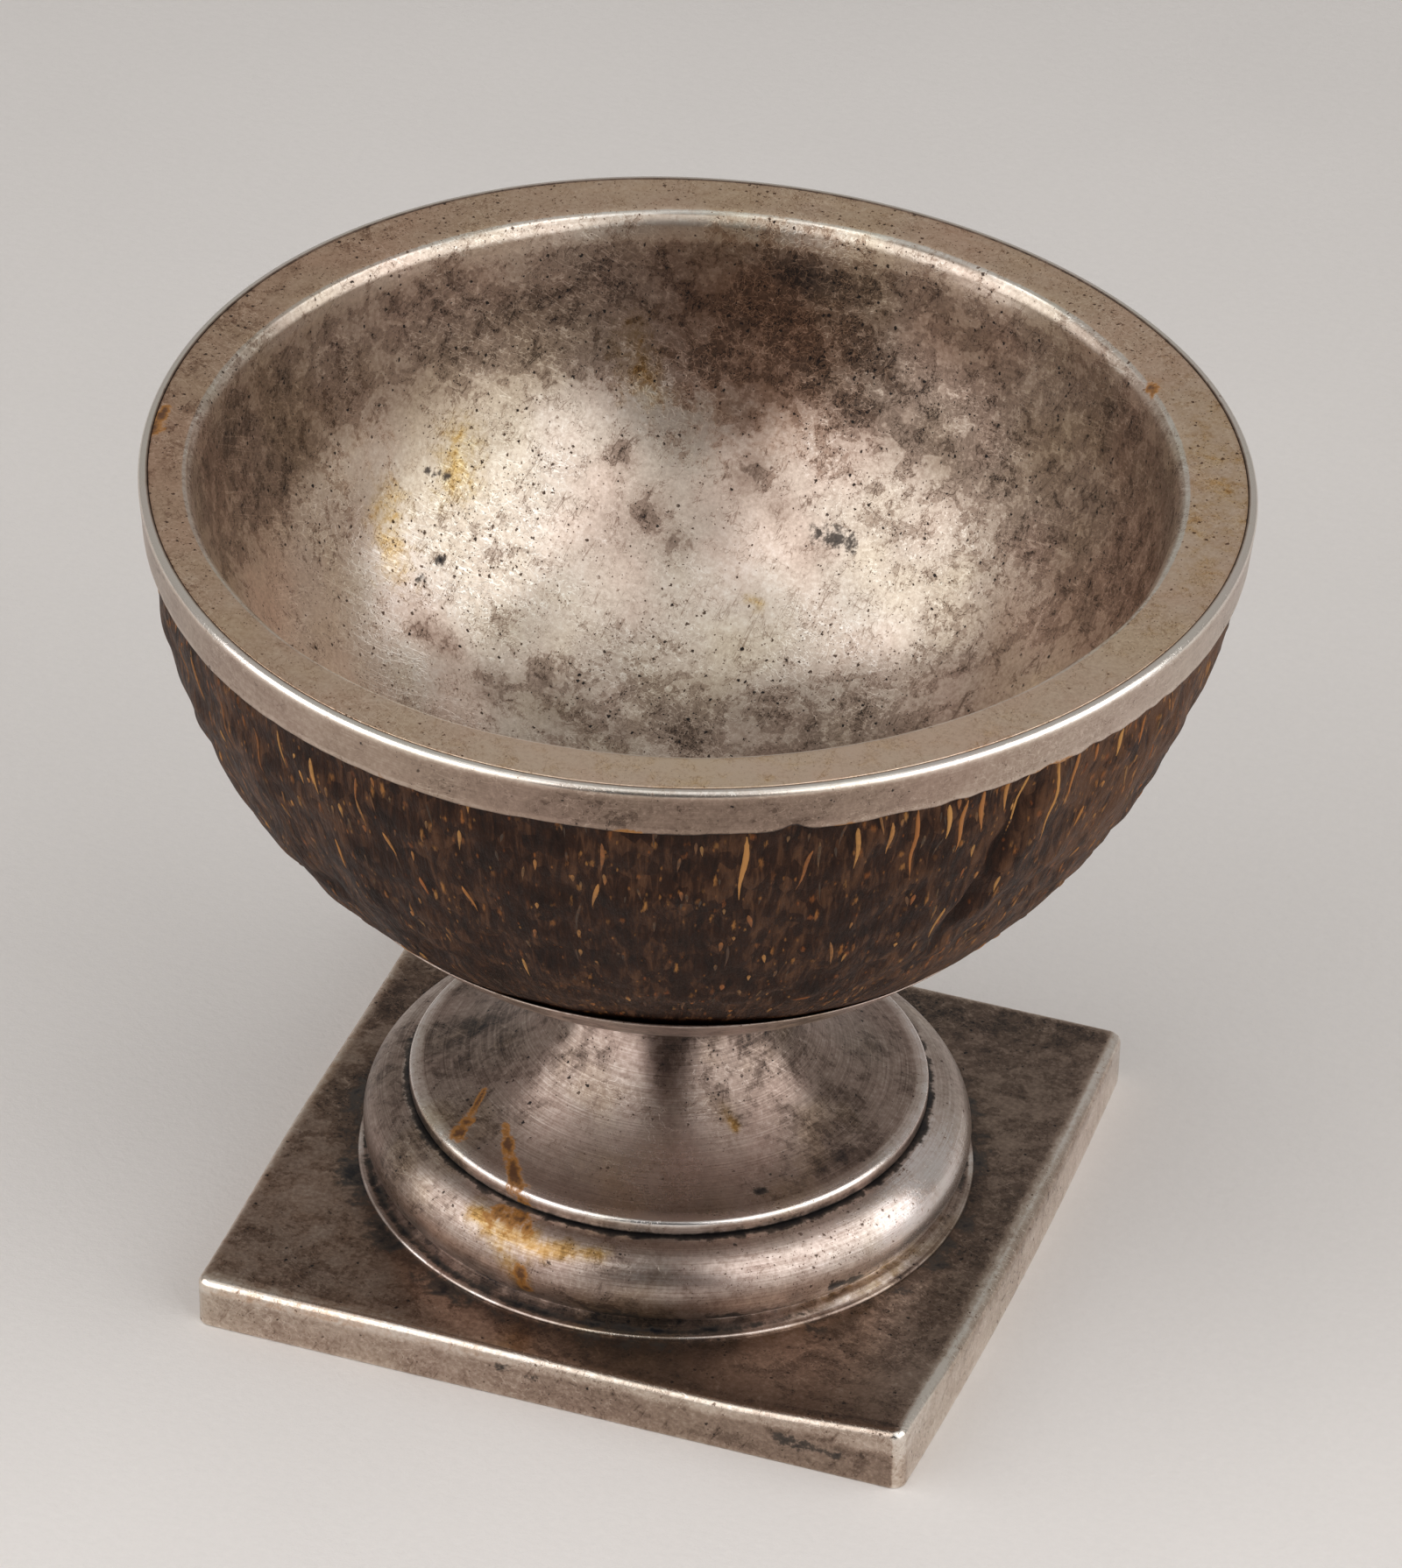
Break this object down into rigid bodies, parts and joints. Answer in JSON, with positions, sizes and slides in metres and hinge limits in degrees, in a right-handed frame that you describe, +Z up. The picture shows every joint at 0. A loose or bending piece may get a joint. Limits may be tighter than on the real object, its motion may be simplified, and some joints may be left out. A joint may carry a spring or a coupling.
{
  "type": "footed coconut cup",
  "caption": "Half-coconut bowl with a metal liner and rim collar, cupped by a dish on a trumpet pedestal with a ring moulding and a square plinth, for holding small things.",
  "frame": {"origin": "centre of the plinth's underside, on the surface that the cup stands on", "axes": "+Z up the axis of the bowl; +X and +Y square to the plinth's sides"},
  "size_m": [0.096, 0.096, 0.0773],
  "materials": {
    "plinth_silver": "tarnished silver, dark in the flats and bright on the worn edges",
    "foot_silver": "satin silver with turned scratches and tarnish",
    "coconut": "scraped coconut shell, dark brown with tan fibre streaks",
    "rim_silver": "satin silver with pits and a bright worn edge",
    "liner_silver": "polished silver, mottled with tarnish",
    "fixing_brass": "dull brass"
  },
  "bodies": {
    "root": {"plinth": "plinth_silver", "foot_ring": "foot_silver", "pedestal": "foot_silver", "calyx": "foot_silver", "coconut_shell": "coconut", "rim_collar": "rim_silver", "bowl_liner": "liner_silver", "fixing_bolt": "fixing_brass", "fixing_washer": "fixing_brass", "fixing_nut": "fixing_brass"}
  },
  "joints": []
}
